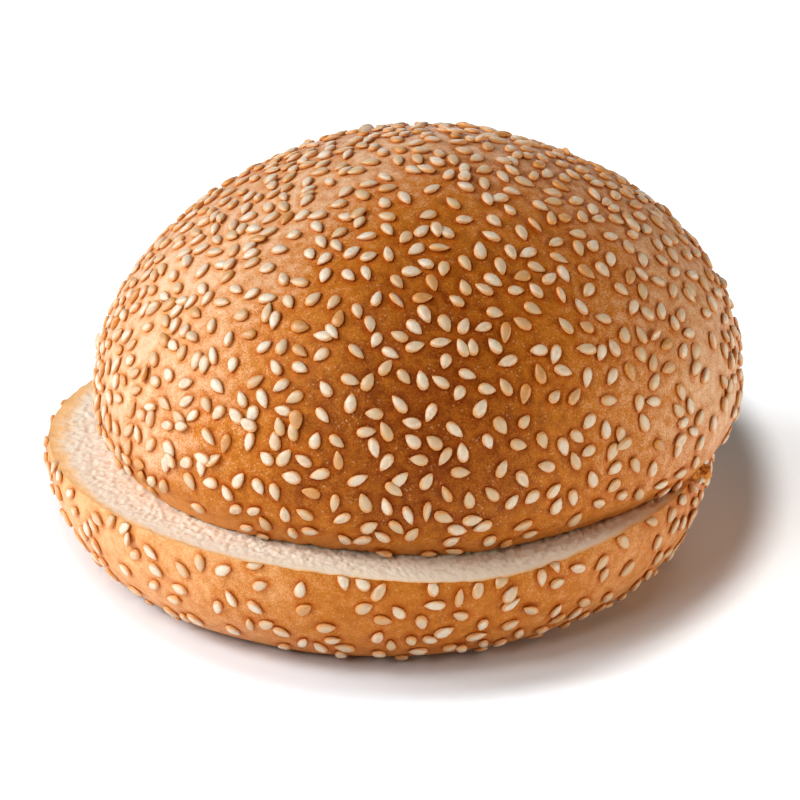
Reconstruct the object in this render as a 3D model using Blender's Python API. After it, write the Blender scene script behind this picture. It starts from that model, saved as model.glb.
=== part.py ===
"""A sesame burger bun, sliced in two and set down with the crown slipped back and to the right on the heel.

The heel, with its flat base, and the domed crown are two solids. Both follow the same knife cut,
which leans a little and dips at the front. Sesame seeds are baked into the crust of each.
"""

import bisect
import math
import random

import bmesh
import bpy
from mathutils import Matrix, Vector

MM = 0.001

# The heel, the lower half, centred on the origin with its flat base on z = 0
HEEL_RADIUS = 53.0 * MM
BASE_RADIUS = 40.4 * MM
HEEL_SIDE_POWER = 1.1
HEEL_LOBES = ((2, 0.006, math.radians(-10)), (3, 0.019, math.radians(23)))

# The knife cut: its height on the axis, its slopes, and the dip at the front rim
CUT_HEIGHT = 17.0 * MM
CUT_SLOPE_X = -0.015
CUT_SLOPE_Y = -0.037
DIP_X = 16.8 * MM
DIP_Y = -56.0 * MM
DIP_DEPTH = 2.3 * MM
DIP_SPREAD = 20.6 * MM

# The crown, the upper half, slipped off the heel's centre, with its top leaning to the right
CROWN_X = 4.0 * MM
CROWN_Y = 2.1 * MM
CROWN_RADIUS = 50.8 * MM
CROWN_HEIGHT = 50.1 * MM
CROWN_GAP = 0.3 * MM
CROWN_LOBES = ((2, 0.017, math.radians(51)), (3, 0.021, math.radians(-2)))
SHOULDER_HEIGHT = 9.1 * MM
SHOULDER_TUCK = 0.089
DOME_RADIUS_POWER = 1.22
DOME_HEIGHT_POWER = 0.925
DOME_LEAN = 4.7 * MM
DOME_LEAN_POWER = 1.5

# How finely the crust and the cut faces are divided
SEGMENTS = 60
HEEL_SIDE_RINGS = 8
SHOULDER_RINGS = 3
DOME_RINGS = 12
CUT_FACE_RINGS = (0.88, 0.74, 0.57, 0.37)

# Sesame seeds, each a teardrop with its rim just clear of the crust and its keel baked in
SEED_LENGTH = 3.1 * MM
SEED_WIDTH = 1.9 * MM
SEED_RISE = 0.4 * MM
SEED_KEEL = 0.8 * MM
SEED_LIFT = 0.28 * MM
SEED_TAPER = 0.35
SEED_RIDGE = 0.45
CROWN_SEEDS = 268
HEEL_SEEDS = 74
SEED_EDGE_CLEARANCE = 2.2 * MM
SEED_STRAY = 1.3 * MM
HEEL_SEEDS_FROM = 0.4
HEEL_SEEDS_TO = 0.88
GOLDEN_ANGLE = math.pi * (3 - math.sqrt(5))
PROFILE_STEPS = 200

# A torn scrap of crust that stands beside the crown's rim, on its right
SCRAP_AZIMUTH = math.radians(-17)
SCRAP_SIZE = 4.0 * MM
SCRAP_OUTSET = 0.6 * MM
SCRAP_LIFT = 1.8 * MM
SCRAP_FLAT = 1.4 * MM
SCRAP_ROUGHNESS = 0.18

CROWN_COLOUR = (0.43, 0.19, 0.07, 1)
HEEL_COLOUR = (0.50, 0.22, 0.07, 1)
CRUST_ROUGHNESS = 0.45
SEED_COLOUR = (0.75, 0.58, 0.38, 1)
SEED_ROUGHNESS = 0.4
SMOOTH_UP_TO = math.radians(25)


def clear_scene():
    for obj in list(bpy.data.objects):
        bpy.data.objects.remove(obj)


def plain_material(name, colour, roughness):
    material = bpy.data.materials.new(name)
    material.use_nodes = True
    shader = material.node_tree.nodes["Principled BSDF"]
    shader.inputs["Base Color"].default_value = colour
    shader.inputs["Roughness"].default_value = roughness
    shader.inputs["Metallic"].default_value = 0
    return material


def lobed(radius, azimuth, lobes):
    """The radius of a bun that isn't quite round, at one azimuth."""
    return radius * (1 + sum(size * math.cos(count * (azimuth - turn)) for count, size, turn in lobes))


def cut_height(x, y):
    """The height of the knife cut above the base, over the point x, y."""
    dip = math.exp(-((x - DIP_X) ** 2 + (y - DIP_Y) ** 2) / DIP_SPREAD**2)
    return CUT_HEIGHT + CUT_SLOPE_X * x + CUT_SLOPE_Y * y - DIP_DEPTH * dip


def heel_side(azimuth, share):
    """A point on the heel's side crust: share is 0 at the base's rim and 1 at the cut."""
    turn = share * math.pi / 2
    radius = BASE_RADIUS + (HEEL_RADIUS - BASE_RADIUS) * math.sin(turn) ** HEEL_SIDE_POWER
    radius = lobed(radius, azimuth, HEEL_LOBES)
    x = radius * math.cos(azimuth)
    y = radius * math.sin(azimuth)
    return Vector((x, y, cut_height(x, y) * (1 - math.cos(turn))))


def crown_side(azimuth, share):
    """A point on the crown's crust: share is -1 at the cut, 0 at the shoulder and 1 at the top."""
    turn = max(share, 0) * math.pi / 2
    tuck = 1 - SHOULDER_TUCK * min(share, 0) ** 2
    radius = lobed(CROWN_RADIUS, azimuth, CROWN_LOBES) * tuck * math.cos(turn) ** DOME_RADIUS_POWER
    height = SHOULDER_HEIGHT * (1 + min(share, 0))
    height += (CROWN_HEIGHT - SHOULDER_HEIGHT) * math.sin(turn) ** DOME_HEIGHT_POWER
    lean = DOME_LEAN * (height / CROWN_HEIGHT) ** DOME_LEAN_POWER
    x = CROWN_X + lean + radius * math.cos(azimuth)
    y = CROWN_Y + radius * math.sin(azimuth)
    return Vector((x, y, cut_height(x, y) + CROWN_GAP + height))


def azimuths():
    return [2 * math.pi * i / SEGMENTS for i in range(SEGMENTS)]


def cut_face_rings(rim, centre, lift):
    """Rings that lie in the knife cut, from a rim in to its centre."""
    for share in CUT_FACE_RINGS:
        ring = []
        for point in rim:
            flat = centre + (point - centre) * share
            ring.append(Vector((flat.x, flat.y, cut_height(flat.x, flat.y) + lift)))
        yield ring


def finished_mesh(name, shape):
    """Turns a finished bmesh into a mesh, its faces pointing out."""
    bmesh.ops.recalc_face_normals(shape, faces=shape.faces)
    mesh = bpy.data.meshes.new(name)
    shape.to_mesh(mesh)
    shape.free()
    return mesh


def closed_body(name, rings, first_pole, last_pole, material):
    """A solid skinned over rings of points, closed by a fan of faces at each end."""
    shape = bmesh.new()
    loops = [[shape.verts.new(point) for point in ring] for ring in rings]
    for low, high in zip(loops, loops[1:]):
        for i in range(SEGMENTS):
            j = (i + 1) % SEGMENTS
            shape.faces.new((low[i], low[j], high[j], high[i]))
    for loop, pole in ((loops[0], first_pole), (loops[-1], last_pole)):
        tip = shape.verts.new(pole)
        for i in range(SEGMENTS):
            shape.faces.new((loop[i], loop[(i + 1) % SEGMENTS], tip))
    mesh = finished_mesh(name, shape)
    mesh.materials.append(material)
    body = bpy.data.objects.new(name, mesh)
    bpy.context.scene.collection.objects.link(body)
    return body


def make_heel():
    material = plain_material("heel_crust", HEEL_COLOUR, CRUST_ROUGHNESS)
    rings = []
    for i in range(HEEL_SIDE_RINGS + 1):
        rings.append([heel_side(azimuth, i / HEEL_SIDE_RINGS) for azimuth in azimuths()])
    rings.extend(cut_face_rings(rings[-1], Vector((0, 0, 0)), 0))
    top = Vector((0, 0, cut_height(0, 0)))
    return closed_body("heel", rings, Vector((0, 0, 0)), top, material)


def make_crown():
    material = plain_material("crown_crust", CROWN_COLOUR, CRUST_ROUGHNESS)
    shares = [i / SHOULDER_RINGS - 1 for i in range(SHOULDER_RINGS)]
    shares += [i / DOME_RINGS for i in range(DOME_RINGS)]
    sides = [[crown_side(azimuth, share) for azimuth in azimuths()] for share in shares]
    centre = Vector((CROWN_X, CROWN_Y, 0))
    faces = list(cut_face_rings(sides[0], centre, CROWN_GAP))
    underside = Vector((CROWN_X, CROWN_Y, cut_height(CROWN_X, CROWN_Y) + CROWN_GAP))
    return closed_body("crown", faces[::-1] + sides, underside, crown_side(0, 1), material)


def seed_mesh():
    """A flat six-sided teardrop, its point towards -X, with a short ridge on top and a keel below."""
    shape = bmesh.new()
    rim = []
    for i in range(6):
        turn = math.pi / 3 * i
        width = SEED_WIDTH * math.sin(turn) * (1 + SEED_TAPER * math.cos(turn))
        rim.append(shape.verts.new((SEED_LENGTH / 2 * math.cos(turn), width / 2, 0)))
    head, left_front, left_back, tail, right_back, right_front = rim
    ridge_end = SEED_RIDGE * SEED_LENGTH / 2
    front = shape.verts.new((ridge_end, 0, SEED_RISE))
    back = shape.verts.new((-ridge_end, 0, SEED_RISE))
    shape.faces.new((right_front, head, front))
    shape.faces.new((head, left_front, front))
    shape.faces.new((left_front, left_back, back, front))
    shape.faces.new((left_back, tail, back))
    shape.faces.new((tail, right_back, back))
    shape.faces.new((right_back, right_front, front, back))
    keel = shape.verts.new((0, 0, -SEED_KEEL))
    for near, far in zip(rim, rim[1:] + rim[:1]):
        shape.faces.new((near, keel, far))
    mesh = finished_mesh("seed", shape)
    mesh.materials.append(plain_material("seed", SEED_COLOUR, SEED_ROUGHNESS))
    return mesh


def scrap_mesh():
    """A small rough lump, as torn crust is, with its underside flat."""
    draw = random.Random(4)
    shape = bmesh.new()
    bmesh.ops.create_icosphere(shape, subdivisions=2, radius=SCRAP_SIZE / 2)
    for vertex in shape.verts:
        vertex.co *= 1 + draw.uniform(-SCRAP_ROUGHNESS, SCRAP_ROUGHNESS)
        vertex.co.z = max(vertex.co.z, -SCRAP_FLAT)
    return finished_mesh("scrap", shape)


def crust_frame(side, azimuth, share):
    """The point, the direction round the bun and the outward normal of a crust at one place."""
    step = 0.01
    point = side(azimuth, share)
    along = (side(azimuth + step, share) - side(azimuth - step, share)).normalized()
    up = (side(azimuth, share + step) - side(azimuth, share - step)).normalized()
    return point, along, along.cross(up).normalized()


def even_places(side, count, low, high, draw):
    """Places spread evenly by area over a crust, up a golden-angle spiral, each straying a little."""
    shares = [low + (high - low) * i / PROFILE_STEPS for i in range(PROFILE_STEPS + 1)]
    covered = [0.0]
    climbed = 0.0
    for below, above in zip(shares, shares[1:]):
        rise = (side(0, above) - side(0, below)).length
        width = (side(0, above) - side(math.pi, above)).length
        covered.append(covered[-1] + rise * width)
        climbed += rise
    stray = SEED_STRAY * (high - low) / climbed
    for i in range(count):
        share = shares[bisect.bisect(covered, covered[-1] * (i + 0.5) / count) - 1]
        share = min(max(share + draw.uniform(-stray, stray), low), high - stray)
        azimuth = i * GOLDEN_ANGLE + draw.uniform(-SEED_STRAY, SEED_STRAY) / CROWN_RADIUS
        yield azimuth, share


def sown_seeds(side, places, draw):
    """One seed lying on a crust at each place, each turned its own way."""
    mesh = seed_mesh()
    for azimuth, share in places:
        point, along, normal = crust_frame(side, azimuth, share)
        along = Matrix.Rotation(draw.uniform(0, 2 * math.pi), 3, normal) @ along
        axes = Matrix((along, normal.cross(along), normal)).transposed().to_4x4()
        seed = bpy.data.objects.new("seed", mesh)
        seed.matrix_world = Matrix.Translation(point + normal * SEED_LIFT) @ axes
        yield seed


def torn_scrap():
    """The scrap, standing on the ledge where the crown's rim meets the heel."""
    foot = crown_side(SCRAP_AZIMUTH, -1)
    outwards = Vector((math.cos(SCRAP_AZIMUTH), math.sin(SCRAP_AZIMUTH), 0))
    scrap = bpy.data.objects.new("scrap", scrap_mesh())
    scrap.data.materials.append(plain_material("scrap", HEEL_COLOUR, CRUST_ROUGHNESS))
    scrap.location = foot + outwards * SCRAP_OUTSET + Vector((0, 0, SCRAP_LIFT))
    return scrap


def fuse(body, extras):
    """Joins the extras to the body, as one solid, and each keeps its colour."""
    group = bpy.data.collections.new(body.name + "_extras")
    bpy.context.scene.collection.children.link(group)
    for extra in extras:
        group.objects.link(extra)
    union = body.modifiers.new("extras", "BOOLEAN")
    union.operation = "UNION"
    union.operand_type = "COLLECTION"
    union.collection = group
    union.material_mode = "TRANSFER"
    bpy.context.view_layer.objects.active = body
    bpy.ops.object.modifier_apply(modifier=union.name)
    for extra in list(group.objects):
        bpy.data.objects.remove(extra)
    bpy.data.collections.remove(group)
    body.data.shade_smooth()
    body.data.set_sharp_from_angle(angle=SMOOTH_UP_TO)


def main():
    clear_scene()
    draw = random.Random(11)

    heel = make_heel()
    places = even_places(heel_side, HEEL_SEEDS, HEEL_SEEDS_FROM, HEEL_SEEDS_TO, draw)
    fuse(heel, list(sown_seeds(heel_side, places, draw)))

    crown = make_crown()
    lowest = SEED_EDGE_CLEARANCE / SHOULDER_HEIGHT - 1
    places = even_places(crown_side, CROWN_SEEDS, lowest, 1, draw)
    fuse(crown, list(sown_seeds(crown_side, places, draw)) + [torn_scrap()])


main()
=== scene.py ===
"""A sesame burger bun, sliced in two, its crown slipped back and to the right on its heel."""

import math

import bpy
import numpy as np
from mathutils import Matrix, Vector, kdtree, noise
from mathutils.bvhtree import BVHTree


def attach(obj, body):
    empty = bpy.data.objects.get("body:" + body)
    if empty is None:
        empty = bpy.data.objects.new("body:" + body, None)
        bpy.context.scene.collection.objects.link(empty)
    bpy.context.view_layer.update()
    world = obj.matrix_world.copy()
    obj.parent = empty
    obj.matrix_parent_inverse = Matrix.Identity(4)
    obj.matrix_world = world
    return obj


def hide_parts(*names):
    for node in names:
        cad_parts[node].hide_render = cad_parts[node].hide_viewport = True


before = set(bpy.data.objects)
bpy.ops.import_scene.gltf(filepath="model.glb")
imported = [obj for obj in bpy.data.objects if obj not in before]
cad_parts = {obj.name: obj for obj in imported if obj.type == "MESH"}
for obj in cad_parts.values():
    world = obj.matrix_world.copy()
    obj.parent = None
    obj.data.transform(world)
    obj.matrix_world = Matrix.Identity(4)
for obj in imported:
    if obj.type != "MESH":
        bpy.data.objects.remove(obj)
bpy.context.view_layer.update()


# The camera stands in front of the bun and looks down on it by about 25 degrees, through a long
# lens, so that the bun fills most of a square picture.
CAMERA_DISTANCE = 0.829
CAMERA_ELEVATION = math.radians(24.9)
CAMERA_LENS_MM = 233
CAMERA_AIM = Vector((0.0028, 0, 0.0242))

camera_data = bpy.data.cameras.new("camera")
camera_data.lens = CAMERA_LENS_MM
camera_data.sensor_width = 36
camera_data.clip_start = 0.05
camera = bpy.data.objects.new("camera", camera_data)
camera.location = (
    0,
    -CAMERA_DISTANCE * math.cos(CAMERA_ELEVATION),
    CAMERA_DISTANCE * math.sin(CAMERA_ELEVATION),
)
camera.rotation_euler = (CAMERA_AIM - camera.location).to_track_quat("-Z", "Y").to_euler()
bpy.context.scene.collection.objects.link(camera)
bpy.context.scene.camera = camera


# The crown's crust is the thin baked skin of the domed upper half. It is cut off below by one
# stroke of the knife, which leans a little and dips at the front, and it isn't quite round.
CUT_HEIGHT = 0.0170
CUT_SLOPE_X = -0.015
CUT_SLOPE_Y = -0.037
DIP_X = 0.0168
DIP_Y = -0.0560
DIP_DEPTH = 0.0023
DIP_SPREAD = 0.0206

CROWN_X = 0.0040
CROWN_Y = 0.0021
CROWN_RADIUS = 0.0508
CROWN_HEIGHT = 0.0501
CROWN_GAP = 0.0003
CROWN_LOBES = ((2, 0.017, math.radians(51)), (3, 0.021, math.radians(-2)))
CROWN_BULGES = ((0, 35, 0.011),)
SHOULDER_HEIGHT = 0.0091
SHOULDER_TUCK = 0.089
SHOULDER_LATITUDE = math.radians(10)
DOME_RADIUS_POWER = 1.22
DOME_HEIGHT_POWER = 0.925
DOME_LEAN = 0.0047
DOME_LEAN_POWER = 1.5
SWELL_HEIGHT = 0.0003
SWELL_LENGTH = 0.013
DOME_DIVISIONS = 8
RIM_LIFT = 0.0003
RIM_LIFT_AZIMUTH = -82
RIM_LIFT_SPREAD = 36
RIM_LIFT_POWER = 2.5
RIM_RAGGED = 0.00035
TATTER_LENGTH = 0.0035
NICK_LENGTH = 0.0011

CRUST_PALE = (0.81, 0.505, 0.305, 1)
CRUST_GOLDEN = (0.52, 0.155, 0.010, 1)
CRUST_DEEP = (0.21, 0.036, 0.0006, 1)
CRUST_TORN_AND_GLOW = (0.88, 0.36, 0.07, 1)
CRUST_GLAZE_AND_SHADE = (0.86, 0.54, 0.17, 1)
CRUST_FLECK = (0.78, 0.48, 0.25, 1)
CRUST_RELIEF = 0.0002


def bell(distance, spread):
    return np.exp(-((distance / spread) ** 2))


def turned_by(azimuth, degrees):
    """How far an azimuth is from a direction given in degrees, in degrees, the short way round."""
    return np.abs((np.degrees(azimuth) - degrees + 180) % 360 - 180)


def lobed(radius, azimuth, lobes, bulges):
    """The radius of a bun that isn't quite round, at one azimuth or at many."""
    waves = sum(size * np.cos(count * (azimuth - turn)) for count, size, turn in lobes)
    local = sum(size * bell(turned_by(azimuth, at), spread) for at, spread, size in bulges)
    return radius * (1 + waves + local)


def cut_height(x, y):
    """The height of the knife cut over the points x, y."""
    dip = np.exp(-((x - DIP_X) ** 2 + (y - DIP_Y) ** 2) / DIP_SPREAD**2)
    return CUT_HEIGHT + CUT_SLOPE_X * x + CUT_SLOPE_Y * y - DIP_DEPTH * dip


def crown_side(azimuth, share):
    """Points on the crown's crust: share is -1 at the cut, 0 at the shoulder and 1 at the top."""
    turn = np.clip(share, 0, 1) * math.pi / 2
    below = np.minimum(share, 0)
    tuck = SHOULDER_TUCK * (1 - 0.2 * bell(turned_by(azimuth, 0), 35))
    radius = lobed(CROWN_RADIUS, azimuth, CROWN_LOBES, CROWN_BULGES) * (1 - tuck * below**2)
    radius = radius * np.maximum(np.cos(turn), 0) ** DOME_RADIUS_POWER
    height = SHOULDER_HEIGHT * (1 + below)
    height = height + (CROWN_HEIGHT - SHOULDER_HEIGHT) * np.sin(turn) ** DOME_HEIGHT_POWER
    lean = DOME_LEAN * (height / CROWN_HEIGHT) ** DOME_LEAN_POWER
    x = CROWN_X + lean + radius * np.cos(azimuth)
    y = CROWN_Y + radius * np.sin(azimuth)
    return np.stack((x, y, cut_height(x, y) + CROWN_GAP + height), axis=-1)


def points_of(piece):
    points = np.empty(3 * len(piece.data.vertices))
    piece.data.vertices.foreach_get("co", points)
    return points.reshape(-1, 3)


def place_points(piece, points):
    piece.data.vertices.foreach_set("co", points.ravel())
    piece.data.update()


def normals_of(piece):
    normals = np.empty(3 * len(piece.data.vertices))
    piece.data.vertex_normals.foreach_get("vector", normals)
    return normals.reshape(-1, 3)


def rolling(points, length, octaves=2):
    """Smooth noise of about -1 to 1 at each point, whose hills are a given length apart."""
    return np.array([noise.fractal(Vector(p) / length, 1.0, 2.0, octaves) for p in points.tolist()])


def mark(piece, name, values):
    """Stores one number for each point of a piece, for its material to read."""
    layer = piece.data.attributes.new(name, "FLOAT", "POINT")
    layer.data.foreach_set("value", np.asarray(values, dtype=np.float32))


class Wire:
    """One output of a material's nodes. Sums and products of wires and numbers add Math nodes."""

    def __init__(self, tree, socket):
        self.tree = tree
        self.socket = socket

    def node(self, kind, settings, sockets, output=0):
        """Adds a node, sets it up, fills its sockets with values or wires, and gives one output."""
        made = self.tree.nodes.new(kind)
        stops = settings.pop("stops", ())
        for name, value in settings.items():
            setattr(made, name, value)
        for i, (position, colour) in enumerate(stops):
            stop = made.color_ramp.elements[i] if i < 2 else made.color_ramp.elements.new(position)
            stop.position = position
            stop.color = colour
        for name, value in sockets.items():
            if isinstance(value, Wire):
                self.tree.links.new(value.socket, made.inputs[name])
            else:
                made.inputs[name].default_value = value
        return Wire(self.tree, made.outputs[output])

    def math(self, operation, first, second):
        return self.node("ShaderNodeMath", {"operation": operation}, {0: first, 1: second})

    def __add__(self, other):
        return self.math("ADD", self, other)

    def __sub__(self, other):
        return self.math("SUBTRACT", self, other)

    def __mul__(self, other):
        return self.math("MULTIPLY", self, other)

    def __rsub__(self, other):
        return self.math("SUBTRACT", other, self)

    __radd__ = __add__
    __rmul__ = __mul__

    def between(self, low, high):
        """0 where this wire is at low, 1 where it is at high, and smooth on the way."""
        settings = {"interpolation_type": "SMOOTHSTEP"}
        return self.node("ShaderNodeMapRange", settings, {"Value": self, "From Min": low, "From Max": high})

    def noise(self, scale, detail=2.0, roughness=0.5):
        """Noise about 0.5, over points that this wire gives."""
        sockets = {"Vector": self, "Scale": scale, "Detail": detail, "Roughness": roughness}
        return self.node("ShaderNodeTexNoise", {}, sockets)

    def cells(self, scale):
        """The distance to the nearest of many scattered points, in cells."""
        return self.node("ShaderNodeTexVoronoi", {"feature": "F1"}, {"Vector": self, "Scale": scale})

    def colours(self, *stops):
        return self.node("ShaderNodeValToRGB", {"stops": stops}, {"Fac": self})

    def mixed(self, other, amount):
        """This colour, mixed with another by an amount from 0 to 1."""
        return self.node("ShaderNodeMix", {"data_type": "RGBA"}, {0: amount, 6: self, 7: other}, output=2)

    def times(self, other, amount):
        """This colour, darkened by another by an amount from 0 to 1."""
        settings = {"data_type": "RGBA", "blend_type": "MULTIPLY"}
        return self.node("ShaderNodeMix", settings, {0: amount, 6: self, 7: other}, output=2)

    def attribute(self, name):
        return self.node("ShaderNodeAttribute", {"attribute_name": name}, {}, output=2)


def new_material(name, constants):
    """A Principled material with constant sockets set, its shader, and a wire of Object coordinates."""
    material = bpy.data.materials.new(name)
    material.use_nodes = True
    shader = material.node_tree.nodes["Principled BSDF"]
    for socket, value in constants.items():
        shader.inputs[socket].default_value = value
    coordinates = material.node_tree.nodes.new("ShaderNodeTexCoord")
    return material, shader, Wire(material.node_tree, coordinates.outputs["Object"])


def feed(shader, **wires):
    for name, wire in wires.items():
        wire.tree.links.new(wire.socket, shader.inputs[name.replace("_", " ")])


def crust_material(name, pale, golden, deep):
    """Baked crust: browner where marked, with painted light and shade in the mark, deeper round the seeds,
    finely flecked and grained.
    """
    material, shader, place = new_material(
        name,
        {
            "Subsurface Weight": 0.08,
            "Subsurface Radius": (0.003, 0.001, 0.0004),
            "Subsurface Scale": 1.0,
            "Specular IOR Level": 0.42,
            "Specular Tint": (1.0, 0.60, 0.24, 1),
        },
    )
    grain = place.noise(3400, 2, 0.8)
    mottle = (place.noise(130, 3) - 0.5) * 0.4 + (place.noise(620, 4) - 0.5) * 0.7 + (grain - 0.5) * 1.0
    pit = 1 - place.cells(1050).between(0.06, 0.20)
    bake_and_light = place.attribute("bake_and_light") - mottle + pit * 0.22
    colour = bake_and_light.colours((0.0, pale), (0.5, golden), (1.0, deep))
    # The torn mark gives the orange of torn crust, and on the crown's rim also painted glow of light
    # through it.
    torn_and_glow = place.attribute("torn_and_glow") * place.noise(700, 3).between(0.15, 0.50)
    colour = colour.mixed(CRUST_TORN_AND_GLOW, torn_and_glow)
    fleck = (1 - place.cells(1500).between(0.08, 0.34)) * place.noise(420).between(0.42, 0.62)
    colour = colour.mixed(CRUST_FLECK, fleck * 0.45)
    # Round each seed the crust is darkened orange, partly glaze and partly painted contact shade.
    halo = place.attribute("halo") * (0.5 + 0.6 * place.noise(900))
    colour = colour.times(CRUST_GLAZE_AND_SHADE, halo)
    height = grain * 0.5 + place.noise(1100, 3) + fleck * 0.3
    bump = place.node("ShaderNodeBump", {}, {"Strength": 0.7, "Distance": CRUST_RELIEF, "Height": height})
    rough = 0.42 + 0.12 * place.noise(350, 2) + 0.08 * grain
    feed(shader, Base_Color=colour, Roughness=rough, Normal=bump)
    return material


bpy.ops.object.select_all(action="DESELECT")
bpy.ops.mesh.primitive_ico_sphere_add(subdivisions=DOME_DIVISIONS, radius=CROWN_RADIUS)
crown_crust = bpy.context.object
crown_crust.name = "crown_crust"
bpy.ops.object.mode_set(mode="EDIT")
bpy.ops.mesh.select_all(action="SELECT")
bpy.ops.mesh.bisect(
    plane_co=(0, 0, -CROWN_RADIUS * math.sin(SHOULDER_LATITUDE)),
    plane_no=(0, 0, 1),
    clear_inner=True,
)
bpy.ops.object.mode_set(mode="OBJECT")
ball = points_of(crown_crust) / CROWN_RADIUS
crown_azimuth = np.arctan2(ball[:, 1], ball[:, 0])
latitude = np.arcsin(np.clip(ball[:, 2] / np.linalg.norm(ball, axis=1), -1, 1))
crown_share = np.where(latitude < 0, latitude / SHOULDER_LATITUDE, latitude / (math.pi / 2))
crown_share = np.clip(crown_share, -1, 1)
place_points(crown_crust, crown_side(crown_azimuth, crown_share))
crown_swell = rolling(points_of(crown_crust), SWELL_LENGTH) * SWELL_HEIGHT
crown_swell *= 1 - bell(crown_share + 1, 0.25)
place_points(crown_crust, points_of(crown_crust) + normals_of(crown_crust) * crown_swell[:, None])


def rim_lift(azimuth):
    """How far the crown's torn rim stands off the cut: a little at the front, with ragged edges."""
    around = np.stack((np.cos(azimuth), np.sin(azimuth), np.zeros_like(azimuth)), axis=-1) * CROWN_RADIUS
    tatters = rolling(around, TATTER_LENGTH, 3) * RIM_RAGGED
    nicks = rolling(around, NICK_LENGTH) * RIM_RAGGED * 0.6
    lift = bell(turned_by(azimuth, RIM_LIFT_AZIMUTH), RIM_LIFT_SPREAD) - 0.3
    return RIM_LIFT * lift + np.maximum(tatters + nicks, -RIM_LIFT * 0.2)


lifted = points_of(crown_crust)
lifted[:, 2] += rim_lift(crown_azimuth) * np.clip(-crown_share, 0, 1) ** RIM_LIFT_POWER
place_points(crown_crust, lifted)
bpy.ops.object.shade_smooth()

# The front is darker partly from the crust's own browning and partly as painted shade, where it faces away
# from the softboxes.
front_bake_and_shade = bell(turned_by(crown_azimuth, -92), 34) * bell(crown_share - 0.12, 0.54)
upper_bake = bell(turned_by(crown_azimuth, -55), 40) * bell(crown_share - 0.62, 0.20)
top_pale = bell(crown_share - 1, 0.26)
# The left flank is paler partly as the crust's own colour and partly as painted sheen from the left
# softboxes.
left_pale_and_sheen = bell(turned_by(crown_azimuth, -158), 38) * bell(crown_share - 0.32, 0.55)
# The right flank is paler as painted light from the right.
right_pale_and_light = bell(turned_by(crown_azimuth, -8), 32) * bell(crown_share - 0.15, 0.50)
rim_bake = bell(crown_share + 1, 0.6) * bell(turned_by(crown_azimuth, -95), 50)
crown_bake_and_light = 0.42 + 0.50 * front_bake_and_shade + 0.12 * upper_bake + 0.26 * rim_bake
mark(crown_crust, "bake_and_light", crown_bake_and_light - 0.38 * left_pale_and_sheen - 0.27 * right_pale_and_light - 0.20 * top_pale)
# The rim is orange where the crust tore, more so on the lit left, as painted glow of light through the thin
# crust.
glowing_left_rim = bell(turned_by(crown_azimuth, -155), 45)
mark(crown_crust, "torn_and_glow", bell(crown_share + 1, 0.36) * (0.2 + 0.8 * glowing_left_rim))
crown_crust.data.materials.append(crust_material("crown_crust", CRUST_PALE, CRUST_GOLDEN, CRUST_DEEP))
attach(crown_crust, "root")
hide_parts("crown")


# The seeds are hulled sesame, flat teardrops strewn over the wet dough and baked in. They lie any
# way round, mostly apart, a few on their edge or on one another, and the knife sliced some.
SEED_LENGTH = 0.00305
SEED_WIDTH = 0.00180
SEED_THICKNESS = 0.00085
SEED_RINGS = (-0.433, -0.25, 0, 0.25, 0.433)
SEED_TAPER = 0.72
SEED_LIFT = 0.00020
SEED_SPACING = 0.0026
SEED_CLOSEST = 0.0014
CLOSE_SEEDS = 0.04
SEED_HALF_REACH = 0.3
SEED_STACK_LIFT = 0.00045
SEED_TIPS_TOUCH = 0.0006
SEED_TIPS_CLEAR = 0.0014
SEED_LEAN = 0.07
TILTED_SEEDS = 0.05
TILTED_LEAN = (0.4, 0.9)
TILTED_LIFT = 0.0002
SEED_SIZE_SPREAD = (0.07, 0.08, 0.12)
HALO_WIDTH = 0.0007
HALO_DEPTH = 0.00012
STREWN_STEPS = 400
STREWN_TOP = 0.995
CROWN_SEED_COUNT = 1250

SEED_IVORY = (0.74, 0.61, 0.46, 1)
SEED_BEIGE = (0.61, 0.42, 0.24, 1)
SEED_TAN = (0.55, 0.24, 0.06, 1)
SEED_GLAZE_AND_SHADE = (0.68, 0.26, 0.035, 1)

bpy.ops.object.select_all(action="DESELECT")
bpy.ops.mesh.primitive_uv_sphere_add(segments=8, ring_count=6, radius=0.5, rotation=(0, math.pi / 2, 0))
bpy.ops.object.transform_apply(rotation=True)
seed = bpy.context.object
bpy.ops.object.mode_set(mode="EDIT")
for ring in SEED_RINGS:
    bpy.ops.mesh.select_all(action="DESELECT")
    bpy.ops.object.mode_set(mode="OBJECT")
    for vertex in seed.data.vertices:
        vertex.select = abs(vertex.co.x - ring) < 0.05
    bpy.ops.object.mode_set(mode="EDIT")
    fullness = 1 + 0.42 * ring - SEED_TAPER * max(0, -ring - 0.1)
    bpy.ops.transform.resize(value=(1, fullness, fullness), center_override=(ring, 0, 0))
bpy.ops.mesh.select_all(action="DESELECT")
bpy.ops.object.mode_set(mode="OBJECT")
for vertex in seed.data.vertices:
    vertex.select = abs(abs(vertex.co.y) - abs(vertex.co.z)) < 0.05 and abs(vertex.co.y) > 0.05
bpy.ops.object.mode_set(mode="EDIT")
bpy.ops.transform.resize(value=(1, 1.08, 1.14), center_override=(0, 0, 0))
bpy.ops.mesh.select_all(action="SELECT")
bpy.ops.transform.resize(value=(SEED_LENGTH, SEED_WIDTH, SEED_THICKNESS), center_override=(0, 0, 0))
bpy.ops.object.mode_set(mode="OBJECT")
seed_points = points_of(seed)
seed_faces = [list(face.vertices) for face in seed.data.polygons]
bpy.data.objects.remove(seed)


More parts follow.
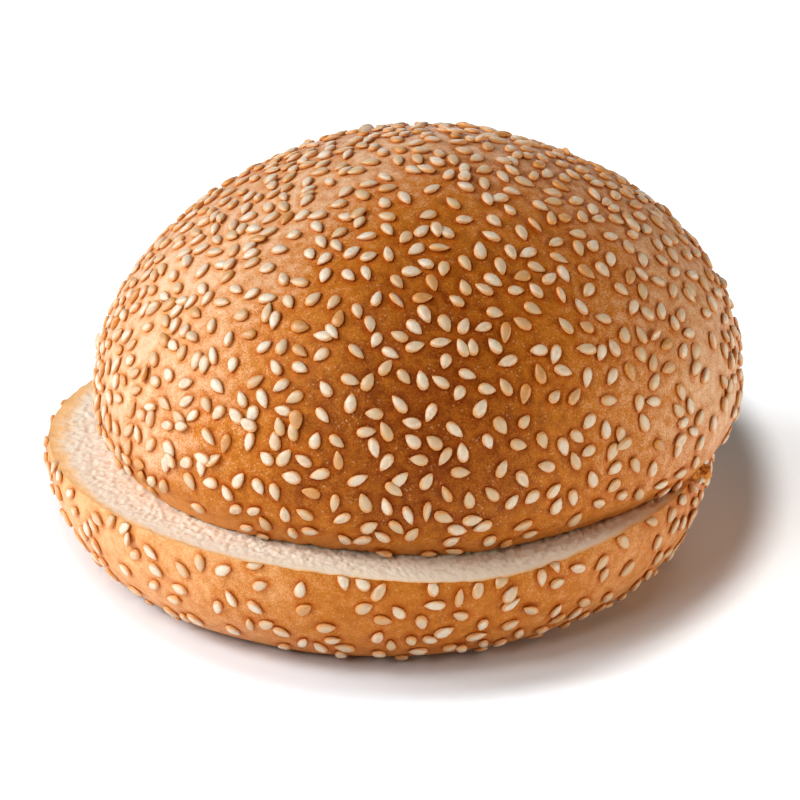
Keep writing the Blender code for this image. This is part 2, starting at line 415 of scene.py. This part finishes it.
def strewn(side, low, crowding, count, draw):
    """Places drawn at random over a crust until there are enough, no two closer than seeds lie."""
    shares = np.linspace(low, STREWN_TOP, STREWN_STEPS)
    ring = side(0, shares)
    far = side(math.pi, shares)
    climb = np.linalg.norm(np.diff(ring, axis=0), axis=1)
    width = np.linalg.norm(ring - far, axis=1)[1:]
    covered = np.concatenate(([0], np.cumsum(climb * width)))
    places = []
    points = np.empty((0, 3))
    while len(places) < count:
        share = np.interp(draw.uniform(0, covered[-1]), covered, shares)
        azimuth = draw.uniform(-math.pi, math.pi)
        if draw.uniform() > crowding(azimuth, share):
            continue
        point = side(azimuth, share)
        spacing = SEED_CLOSEST if draw.uniform() < CLOSE_SEEDS else SEED_SPACING
        nearest = np.linalg.norm(points - point, axis=1).min() if places else 1
        if nearest < spacing:
            continue
        points = np.vstack((points, point))
        places.append(point)
    return places


def sown(name, places, crust, draw):
    """One mesh of seeds, each lying on the crust at its place, with its own size, turn and tint."""
    tree = BVHTree.FromPolygons(points_of(crust).tolist(), [f.vertices[:] for f in crust.data.polygons])
    body = np.empty((len(places), len(seed_points), 3))
    lying = []
    ends = np.empty((len(places), 2, 3))
    for i, point in enumerate(places):
        spot, up, _, _ = tree.find_nearest(Vector(point))
        spot = np.array(spot)
        up = np.array(up)
        best = -1
        for _ in range(4):
            way = np.cross(up, draw.normal(size=3))
            way /= np.linalg.norm(way)
            reach = way * SEED_LENGTH * SEED_HALF_REACH
            tips = np.stack((spot - reach, spot + reach))
            room = np.linalg.norm(ends[:i, :, None] - tips, axis=-1).min(initial=1)
            if room > best:
                best = room
                along = way
                ends[i] = tips
        lying.append((spot, along, np.cross(up, along)))
        lean = draw.normal(0, SEED_LEAN)
        stacked = np.interp(best, (SEED_TIPS_TOUCH, SEED_TIPS_CLEAR), (1, 0))
        lift = SEED_LIFT + SEED_STACK_LIFT * stacked
        if draw.uniform() < TILTED_SEEDS:
            lean = draw.uniform(*TILTED_LEAN)
            lift += TILTED_LIFT
        across = math.cos(lean) * lying[i][2] + math.sin(lean) * up
        top = np.cross(along, across)
        size = draw.normal((1, 1, 1), SEED_SIZE_SPREAD)
        body[i] = (seed_points * size) @ np.stack((along, across, top)) + spot + up * lift
    count = len(seed_points)
    faces = [[v + count * i for v in face] for i in range(len(places)) for face in seed_faces]
    mesh = bpy.data.meshes.new(name)
    mesh.from_pydata(body.reshape(-1, 3).tolist(), [], faces)
    seeds = bpy.data.objects.new(name, mesh)
    bpy.context.scene.collection.objects.link(seeds)
    mesh.shade_smooth()
    mark(seeds, "along", np.tile(seed_points[:, 0] / SEED_LENGTH * 2, len(places)))
    edge = np.hypot(seed_points[:, 0] / SEED_LENGTH, seed_points[:, 1] / SEED_WIDTH) * 2
    mark(seeds, "edge", np.tile(np.where(seed_points[:, 2] > 0, edge, 1), len(places)))
    mark(seeds, "tint", np.repeat(draw.uniform(size=len(places)), count))
    mark(seeds, "hue", np.repeat(draw.uniform(size=len(places)), count))
    return seeds, lying


def settle_round_seeds(crust, lying):
    """Marks the crust close to each seed for glaze and painted contact shade, and sinks it a little there.
    """
    middles = kdtree.KDTree(len(lying))
    for i, (spot, _, _) in enumerate(lying):
        middles.insert(Vector(spot), i)
    middles.balance()
    points = points_of(crust)
    halo = np.zeros(len(points))
    for i, point in enumerate(points):
        for spot, j, distance in middles.find_n(Vector(point), 2):
            if distance > SEED_LENGTH:
                continue
            offset = point - lying[j][0]
            x = offset @ lying[j][1] / (SEED_LENGTH / 2)
            y = offset @ lying[j][2] / (SEED_WIDTH / 2)
            outside = (math.hypot(x, y) - 1) * SEED_WIDTH / 2
            halo[i] = max(halo[i], 1 - min(max(outside, 0) / HALO_WIDTH, 1))
    mark(crust, "halo", halo)
    place_points(crust, points - normals_of(crust) * (HALO_DEPTH * halo[:, None] ** 2))


def seed_material():
    """Hulled sesame: ivory to beige, tan at the pointed tip, some toasted, orange round the edge from glaze
    and painted shade, with a faint sheen.
    """
    material, shader, place = new_material(
        "sesame",
        {
            "Subsurface Weight": 0.25,
            "Subsurface Radius": (0.0012, 0.0008, 0.0004),
            "Subsurface Scale": 1.0,
            "Specular IOR Level": 0.5,
        },
    )
    tint = place.attribute("tint")
    colour = tint.colours((0.3, SEED_IVORY), (0.8, SEED_BEIGE), (0.9, SEED_BEIGE), (0.98, SEED_TAN))
    tip = 1 - place.attribute("along").between(-1.0, -0.40)
    colour = colour.mixed(SEED_TAN, tip * (0.3 + 0.65 * place.attribute("hue")))
    streak = place.noise(2500, 2)
    colour = colour.mixed(SEED_BEIGE, streak.between(0.42, 0.68) * 0.4)
    centre = (1 - place.attribute("edge").between(0.35, 0.75)) * place.attribute("hue").between(0.55, 1)
    colour = colour.mixed(SEED_TAN, centre * 0.35)
    # The edge and underside of each seed take the orange of glaze and of painted shade.
    colour = colour.mixed(SEED_GLAZE_AND_SHADE, place.attribute("edge").between(0.60, 1.0) * 0.85)
    bump = place.node("ShaderNodeBump", {}, {"Strength": 0.3, "Distance": 0.0001, "Height": streak})
    feed(shader, Base_Color=colour, Roughness=0.30 + 0.2 * streak, Normal=bump)
    return material


def crown_crowding(azimuth, share):
    """How thickly the crown is strewn, from 0 to 1: less on the right, little next to the cut."""
    low_down = np.interp(share, (-1, -0.7, -0.4, -0.1, 0.25, 1), (0.06, 0.15, 0.45, 0.7, 0.95, 1))
    low_down = low_down + 0.3 * bell(turned_by(azimuth, 180), 20) * bell(share + 0.3, 0.35)
    low_down = low_down * (1 - bell(turned_by(azimuth, -14), 9) * bell(share + 1, 0.6))
    return low_down * (1 - 0.68 * bell(turned_by(azimuth, -28), 40) * bell(share + 0.1, 0.6))


draw = np.random.default_rng(5)
sesame = seed_material()
crown_places = strewn(crown_side, -0.95, crown_crowding, CROWN_SEED_COUNT, draw)
crown_seeds, crown_lying = sown("crown_seeds", crown_places, crown_crust, draw)
sliced = points_of(crown_seeds)
sliced[:, 2] = np.maximum(sliced[:, 2], cut_height(sliced[:, 0], sliced[:, 1]) + CROWN_GAP)
place_points(crown_seeds, sliced)
crown_seeds.data.materials.append(sesame)
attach(crown_seeds, "root")
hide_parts("crown")
settle_round_seeds(crown_crust, crown_lying)


# The heel's crust is the skin of the lower half, baked on a flat tray: a flat base, and a side that
# swells up and out to the cut. It is smoother and more orange than the crown's.
HEEL_RADIUS = 0.0530
BASE_RADIUS = 0.0404
HEEL_SIDE_POWER = 1.1
HEEL_LOBES = ((2, 0.006, math.radians(-10)), (3, 0.019, math.radians(23)))
HEEL_BULGES = ((-2, 26, -0.026), (178, 30, 0.008))
EDGE_ROUND = 0.0005
EDGE_ROUND_SHARE = 0.93
EDGE_TATTER_LENGTH = 0.0025
EDGE_LIFT_POWER = 8
HINGE_AZIMUTH = -22
HINGE_SPREAD = 22
HINGE_LIFT = 0.0011
HEEL_SEGMENTS = 640
HEEL_RINGS = 56
BASE_RINGS = 4

HEEL_PALE = (0.80, 0.40, 0.17, 1)
HEEL_GOLDEN = (0.53, 0.160, 0.014, 1)
HEEL_DEEP = (0.32, 0.075, 0.003, 1)


def hinge_lift(azimuth):
    """How far the heel's edge stands up at the right, where the knife stopped and the crust tore."""
    return HINGE_LIFT * bell(turned_by(azimuth, HINGE_AZIMUTH), HINGE_SPREAD)


def edge_rags(azimuth):
    """How far the heel's edge runs up and down along its ragged cut."""
    around = np.stack((np.cos(azimuth), np.sin(azimuth), np.zeros_like(azimuth)), axis=-1) * HEEL_RADIUS
    ragged = rolling(around.reshape(-1, 3), EDGE_TATTER_LENGTH, 3).reshape(np.shape(azimuth))
    return ragged * RIM_RAGGED * 0.6


def heel_side(azimuth, share):
    """Points on the heel's side crust: share is 0 at the base's rim and 1 at the cut."""
    turn = share * math.pi / 2
    radius = BASE_RADIUS + (HEEL_RADIUS - BASE_RADIUS) * np.sin(turn) ** HEEL_SIDE_POWER
    radius = lobed(radius, azimuth, HEEL_LOBES, HEEL_BULGES)
    rounding = np.clip((share - EDGE_ROUND_SHARE) / (1 - EDGE_ROUND_SHARE), 0, 1)
    radius = radius - EDGE_ROUND * rounding**2
    x = radius * np.cos(azimuth)
    y = radius * np.sin(azimuth)
    edge = (hinge_lift(azimuth) + edge_rags(azimuth)) * share**EDGE_LIFT_POWER
    return np.stack((x, y, cut_height(x, y) * (1 - np.cos(turn)) + edge), axis=-1)


bpy.ops.object.select_all(action="DESELECT")
bpy.ops.mesh.primitive_circle_add(vertices=HEEL_SEGMENTS, radius=1, location=(0, 0, 1))
bpy.ops.object.transform_apply(location=True)
heel_crust = bpy.context.object
heel_crust.name = "heel_crust"
bpy.ops.object.mode_set(mode="EDIT")
bpy.ops.mesh.select_all(action="SELECT")
for _ in range(HEEL_RINGS):
    bpy.ops.mesh.extrude_region_move(TRANSFORM_OT_translate={"value": (0, 0, -1 / HEEL_RINGS)})
for i in range(1, BASE_RINGS + 1):
    bpy.ops.mesh.extrude_region_move(TRANSFORM_OT_translate={"value": (0, 0, 0)})
    closer = (BASE_RINGS - i + 0.01) / (BASE_RINGS - i + 1.01)
    bpy.ops.transform.resize(value=(closer, closer, 1), center_override=(0, 0, 0))
bpy.ops.mesh.merge(type="CENTER")
bpy.ops.mesh.select_all(action="SELECT")
bpy.ops.mesh.normals_make_consistent(inside=False)
bpy.ops.object.mode_set(mode="OBJECT")
tub = points_of(heel_crust)
heel_azimuth = np.arctan2(tub[:, 1], tub[:, 0])
heel_share = np.clip(tub[:, 2], 0, 1)
shaped = heel_side(heel_azimuth, heel_share)
on_base = np.hypot(tub[:, 0], tub[:, 1]) < 0.999
shaped[on_base] = tub[on_base] * lobed(BASE_RADIUS, heel_azimuth[on_base], HEEL_LOBES, HEEL_BULGES)[:, None]
shaped[on_base, 2] = 0
place_points(heel_crust, shaped)
heel_swell = rolling(shaped, SWELL_LENGTH) * SWELL_HEIGHT * np.sin(heel_share * math.pi)
place_points(heel_crust, shaped + normals_of(heel_crust) * heel_swell[:, None])
bpy.ops.object.shade_smooth()
# The heel is darker at the front as painted shade, paler on the left and under the cut's left edge as
# painted sheen, and paler low on the right as painted light, besides its own browning.
left_pale_and_sheen = bell(turned_by(heel_azimuth, -155), 50)
top_pale = bell(heel_share - 1, 0.20) * (0.3 + left_pale_and_sheen)
front_bake_and_shade = bell(turned_by(heel_azimuth, -86), 26)
low_right_light = bell(turned_by(heel_azimuth, -28), 34) * (1 - heel_share)
heel_bake_and_light = 0.42 + 0.22 * front_bake_and_shade - 0.22 * left_pale_and_sheen
mark(heel_crust, "bake_and_light", heel_bake_and_light - 0.10 * top_pale - 0.2 * low_right_light)
heel_crust.data.materials.append(crust_material("heel_crust", HEEL_PALE, HEEL_GOLDEN, HEEL_DEEP))
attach(heel_crust, "root")
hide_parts("heel")


# The heel's seeds lie round its side, thickest just under the cut, where the knife sliced some
# flat, and a few are pressed in as low as the base's rim.
HEEL_SEED_COUNT = 290


def heel_crowding(azimuth, share):
    return np.interp(share, (0.2, 0.4, 0.75, 0.9, 1), (0.15, 0.45, 0.5, 0.9, 1))


heel_places = strewn(heel_side, 0.2, heel_crowding, HEEL_SEED_COUNT, draw)
heel_seeds, heel_lying = sown("heel_seeds", heel_places, heel_crust, draw)
sliced = points_of(heel_seeds)
seed_azimuth = np.arctan2(sliced[:, 1], sliced[:, 0])
seed_limit = cut_height(sliced[:, 0], sliced[:, 1]) + hinge_lift(seed_azimuth) + edge_rags(seed_azimuth)
sliced[:, 2] = np.clip(sliced[:, 2], 0, seed_limit)
place_points(heel_seeds, sliced)
heel_seeds.data.materials.append(sesame)
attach(heel_seeds, "root")
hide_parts("heel")
settle_round_seeds(heel_crust, heel_lying)


# The crumb is the soft off-white inside, bared by the knife: fine and cottony, with small torn
# cells, and tinged with tan where it runs out to the crust.
CRUMB_SEGMENTS = 1280
CRUMB_RINGS = 56
CRUMB_OPEN_SHARE = 0.68
CRUMB_ROUGHNESS = 0.00031
CRUMB_GRAIN = (1, 0.65, 1)
CRUMB_RELIEF = 0.0002
TUFT_LENGTH = 0.0009
CELL_LENGTH = 0.0005
EDGE_LIFT_REACH = 0.006
EDGE_RAGS_REACH = 0.0007

CRUMB_WHITE = (0.82, 0.745, 0.62, 1)
CRUMB_SHADE = (0.72, 0.55, 0.38, 1)
CRUMB_CREAM = (0.84, 0.69, 0.51, 1)
CRUMB_SKIN = (0.88, 0.54, 0.25, 1)
CRUMB_CRUST = (0.80, 0.38, 0.11, 1)


def cut_disc(name, side_rim, centre, gap, segments, rings, open_share):
    """A disc that follows the knife cut inside a rim, with its outer part finely divided."""
    bpy.ops.object.select_all(action="DESELECT")
    bpy.ops.mesh.primitive_circle_add(vertices=segments, radius=1)
    disc = bpy.context.object
    disc.name = name
    bpy.ops.object.mode_set(mode="EDIT")
    bpy.ops.mesh.select_all(action="SELECT")
    steps = list(np.linspace(1, open_share, rings)) + list(np.linspace(open_share, 0.01, 8)[1:])
    for wide, narrow in zip(steps, steps[1:]):
        bpy.ops.mesh.extrude_region_move(TRANSFORM_OT_translate={"value": (0, 0, 0)})
        bpy.ops.transform.resize(value=(narrow / wide, narrow / wide, 1), center_override=(0, 0, 0))
    bpy.ops.mesh.merge(type="CENTER")
    bpy.ops.object.mode_set(mode="OBJECT")
    flat = points_of(disc)
    azimuth = np.arctan2(flat[:, 1], flat[:, 0])
    inwards = np.hypot(flat[:, 0], flat[:, 1])
    rim = side_rim(azimuth)
    points = centre + (rim - centre) * inwards[:, None]
    points[:, 2] = cut_height(points[:, 0], points[:, 1]) + gap
    place_points(disc, points)
    depth = np.linalg.norm((rim - points)[:, :2], axis=1)
    return disc, azimuth, depth


def crumb_material():
    material, shader, place = new_material(
        "crumb",
        {
            "Subsurface Weight": 0.28,
            "Subsurface Radius": (0.0018, 0.0012, 0.0008),
            "Subsurface Scale": 1.0,
            "Specular IOR Level": 0.2,
        },
    )
    grain = place.node("ShaderNodeVectorMath", {"operation": "MULTIPLY"}, {0: place, 1: CRUMB_GRAIN})
    fluff = grain.noise(2100, 4, 0.7)
    # The crumb is painted darker in its pits, as painted shade.
    shade = (1 - fluff.between(0.30, 0.60)) * 0.4 + place.attribute("pit_shade") * 0.5
    colour = fluff.colours((0.25, CRUMB_CREAM), (0.60, CRUMB_WHITE))
    colour = colour.mixed(CRUMB_SHADE, shade * place.attribute("inner"))
    colour = colour.mixed(CRUMB_CREAM, 0.7 - 0.7 * place.attribute("inner"))
    skin = place.attribute("skin") + (place.noise(330, 4) - 0.5) * 1.1
    colour = colour.mixed(CRUMB_SKIN, skin.between(0.2, 1.0))
    colour = colour.mixed(CRUMB_CRUST, (skin - 0.55).between(0.2, 0.9) * 0.7)
    bump = place.node("ShaderNodeBump", {}, {"Strength": 0.5, "Distance": CRUMB_RELIEF, "Height": fluff})
    feed(shader, Base_Color=colour, Roughness=0.75 + 0.2 * fluff, Normal=bump)
    return material


def roughen(disc, azimuth, depth):
    """Tears the crumb into tufts with pits between, more so inwards, and marks what lies deep for painted
    shade in the pits.
    """
    points = points_of(disc)
    inner = np.clip((depth - 0.0007) / (0.0036 - 0.0022 * bell(turned_by(azimuth, -35), 40)), 0, 1)
    grained = points * CRUMB_GRAIN
    relief = rolling(grained, TUFT_LENGTH, 3) * 0.75 + rolling(grained, CELL_LENGTH, 2) * 0.45
    points[:, 2] += relief * (0.12 + 0.88 * inner) * CRUMB_ROUGHNESS
    points[:, 2] += hinge_lift(azimuth) * bell(depth, EDGE_LIFT_REACH)
    points[:, 2] += edge_rags(azimuth) * bell(depth, EDGE_RAGS_REACH)
    place_points(disc, points)
    mark(disc, "pit_shade", np.clip(-relief * 1.8, 0, 1))
    mark(disc, "inner", inner)


crumb = crumb_material()
heel_crumb, crumb_azimuth, crumb_depth = cut_disc(
    "heel_crumb",
    lambda azimuth: heel_side(azimuth, np.ones_like(azimuth)),
    np.zeros(3),
    0,
    CRUMB_SEGMENTS,
    CRUMB_RINGS,
    CRUMB_OPEN_SHARE,
)
bpy.ops.object.shade_smooth()
roughen(heel_crumb, crumb_azimuth, crumb_depth)
skin_width = 0.0009 + 0.0034 * bell(turned_by(crumb_azimuth, 175), 30)
skin_width += 0.0004 * bell(turned_by(crumb_azimuth, -140), 25)
skin_width += 0.0012 * bell(turned_by(crumb_azimuth, -18), 22)
mark(heel_crumb, "skin", 1.2 - crumb_depth / skin_width)
heel_crumb.data.materials.append(crumb)
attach(heel_crumb, "root")
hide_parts("heel")


# The crown's crumb closes the crown from below. It faces the heel's across the cut, so only its rim
# is ever seen, and it is less torn.
CROWN_CRUMB_SEGMENTS = 400
CROWN_CRUMB_RINGS = 20
CROWN_CRUMB_OPEN_SHARE = 0.8
CROWN_CRUMB_TUFT_LENGTH = 0.0012
CROWN_SKIN_WIDTH = 0.0009

crown_crumb, crumb_azimuth, crumb_depth = cut_disc(
    "crown_crumb",
    lambda azimuth: crown_side(azimuth, -np.ones_like(azimuth)),
    np.array((CROWN_X, CROWN_Y, 0)),
    CROWN_GAP,
    CROWN_CRUMB_SEGMENTS,
    CROWN_CRUMB_RINGS,
    CROWN_CRUMB_OPEN_SHARE,
)
lifted = points_of(crown_crumb)
tufts = rolling(lifted, CROWN_CRUMB_TUFT_LENGTH, 3) * CRUMB_ROUGHNESS * 0.3
lifted[:, 2] += rim_lift(crumb_azimuth) + tufts
place_points(crown_crumb, lifted)
bpy.ops.object.shade_smooth()
bpy.ops.object.mode_set(mode="EDIT")
bpy.ops.mesh.select_all(action="SELECT")
bpy.ops.mesh.flip_normals()
bpy.ops.object.mode_set(mode="OBJECT")
mark(crown_crumb, "pit_shade", np.zeros(len(crumb_depth)))
mark(crown_crumb, "inner", np.ones(len(crumb_depth)))
mark(crown_crumb, "skin", 1.2 - crumb_depth / CROWN_SKIN_WIDTH)
crown_crumb.data.materials.append(crumb)
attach(crown_crumb, "root")
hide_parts("crown")


# The scrap is a tag of crust at the right, where the knife stopped short. It tore off the heel with
# the crown, so it is ragged and blistered, and crumbs still cling to it.
SCRAP_AZIMUTH = math.radians(-17)
SCRAP_REACH = 0.0513
SCRAP_RISE = 0.0018
SCRAP_SIZE = (0.0042, 0.0046, 0.0035)
SCRAP_RAGGED = 0.0007
SCRAP_TUFT_LENGTH = 0.0016
CLINGING_CRUMBS = (
    (0.0002, 0.0012, 0.0016, 0.0015),
    (0.0012, 0.0002, 0.0017, 0.0010),
    (0.0010, -0.0012, -0.0008, 0.0014),
    (-0.0012, -0.0014, 0.0004, 0.0009),
)

outwards = np.array((math.cos(SCRAP_AZIMUTH), math.sin(SCRAP_AZIMUTH), 0))
onwards = np.array((-outwards[1], outwards[0], 0))
scrap_frame = np.stack((outwards, onwards, (0, 0, 1)))
scrap_middle = outwards * SCRAP_REACH
scrap_middle[2] = cut_height(scrap_middle[0], scrap_middle[1]) + SCRAP_RISE


def torn_lump(name, subdivisions, size, middle, ragged, length):
    """A lump of torn bread: a ball drawn out to its size, then pulled about by rolling noise."""
    bpy.ops.object.select_all(action="DESELECT")
    bpy.ops.mesh.primitive_ico_sphere_add(subdivisions=subdivisions, radius=0.5)
    lump = bpy.context.object
    lump.name = name
    bpy.ops.object.mode_set(mode="EDIT")
    bpy.ops.mesh.select_all(action="SELECT")
    bpy.ops.transform.resize(value=size, center_override=(0, 0, 0))
    bpy.ops.object.mode_set(mode="OBJECT")
    points = points_of(lump) @ scrap_frame + middle
    pulled = rolling(points, length, 4) * ragged
    place_points(lump, points)
    place_points(lump, points + normals_of(lump) * pulled[:, None])
    bpy.ops.object.shade_smooth()
    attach(lump, "root")
    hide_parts("crown")
    return lump, pulled / ragged


scrap, scrap_relief = torn_lump(
    "torn_scrap", 6, SCRAP_SIZE, scrap_middle, SCRAP_RAGGED, SCRAP_TUFT_LENGTH
)
mark(scrap, "bake_and_light", 0.55 - 0.5 * scrap_relief)
mark(scrap, "torn_and_glow", np.clip(0.3 + 0.6 * scrap_relief, 0, 1))
scrap.data.materials.append(crust_material("torn_crust", HEEL_PALE, HEEL_GOLDEN, HEEL_DEEP))
for i, (out, on, rise, width) in enumerate(CLINGING_CRUMBS):
    middle = scrap_middle + np.array((out, on, rise)) @ scrap_frame
    size = (width, width, width * 0.8)
    lump, _ = torn_lump(f"clinging_crumb_{i + 1}", 4, size, middle, width * 0.25, width * 0.5)
    mark(lump, "inner", np.full(len(lump.data.vertices), 0.5))
    lump.data.materials.append(crumb)


# The bun stands on a white table lit by a painted glow that rises a little way out from it, so the
# floor close round the bun stays darker. The main softbox is on its left, others stand round its
# front from left to right, and two weak ones are behind it.
FLOOR_SIZE = 8.0
FLOOR_DROP = 0.0001
FLOOR_COLOUR = (0.81, 0.83, 0.84, 1)
FLOOR_GLOW = 0.65
GLOW_CENTRE = (0.004, 0.026, 0)
GLOW_SHAPE = (1, 0.70, 1)
GLOW_START = 0.0555
GLOW_FULL = 0.0642
SOFTBOXES = (
    ("left_box", 180, 34, 0.40, 0.30, 6.9, (0.94, 1.0, 1.09)),
    ("left_low_box", 168, 14, 0.85, 0.30, 0.4, (1.0, 1.0, 1.0)),
    ("left_front_box", 210, 34, 0.30, 0.30, 1.4, (0.94, 1.0, 1.09)),
    ("key_box", 225, 56, 0.30, 0.30, 2.8, (1.0, 1.0, 1.0)),
    ("front_left_box", 240, 34, 0.30, 0.30, 2.15, (1.0, 1.0, 1.0)),
    ("right_front_low_box", 345, 5, 0.40, 0.10, 2.7, (1.0, 0.92, 0.76)),
    ("right_low_box", 5, 14, 0.60, 0.30, 1.5, (1.0, 0.92, 0.78)),
    ("back_right_box", 60, 34, 0.30, 0.30, 0.8, (1.0, 1.0, 1.0)),
    ("back_box", 90, 14, 0.40, 0.30, 0.9, (1.0, 1.0, 1.0)),
)
SKY_STRENGTH = 0.01

bpy.ops.object.select_all(action="DESELECT")
bpy.ops.mesh.primitive_plane_add(size=FLOOR_SIZE, location=(0, 0, -FLOOR_DROP))
floor = bpy.context.object
floor.name = "floor"
table_top, table_shader, place = new_material(
    "white_table",
    {
        "Base Color": FLOOR_COLOUR,
        "Roughness": 0.8,
        "Specular IOR Level": 0.2,
        "Emission Strength": FLOOR_GLOW,
    },
)
from_bun = place.node("ShaderNodeVectorMath", {"operation": "SUBTRACT"}, {0: place, 1: GLOW_CENTRE})
from_bun = place.node("ShaderNodeVectorMath", {"operation": "MULTIPLY"}, {0: from_bun, 1: GLOW_SHAPE})
away = place.node("ShaderNodeVectorMath", {"operation": "LENGTH"}, {0: from_bun}, output="Value")
glow = away.between(GLOW_START, GLOW_FULL)
feed(table_shader, Emission_Color=glow.colours((0, (0, 0, 0, 1)), (1, (1, 1, 1, 1))))
floor.data.materials.append(table_top)


def softbox(name, azimuth, elevation, width, height, power, tint):
    """A soft area light one metre away, in a direction given in degrees, that faces the bun."""
    data = bpy.data.lights.new(name, "AREA")
    data.shape = "RECTANGLE"
    data.size = width
    data.size_y = height
    data.energy = power
    data.color = tint
    around = math.radians(azimuth)
    up = math.radians(elevation)
    away = Vector((math.cos(around) * math.cos(up), math.sin(around) * math.cos(up), math.sin(up)))
    light = bpy.data.objects.new(name, data)
    light.location = away
    light.rotation_euler = (CAMERA_AIM - away).to_track_quat("-Z", "Y").to_euler()
    bpy.context.scene.collection.objects.link(light)


for box in SOFTBOXES:
    softbox(*box)
world = bpy.data.worlds.new("studio")
world.use_nodes = True
world.node_tree.nodes["Background"].inputs["Color"].default_value = (1, 1, 1, 1)
world.node_tree.nodes["Background"].inputs["Strength"].default_value = SKY_STRENGTH
bpy.context.scene.world = world
bpy.context.scene.view_settings.view_transform = "Standard"
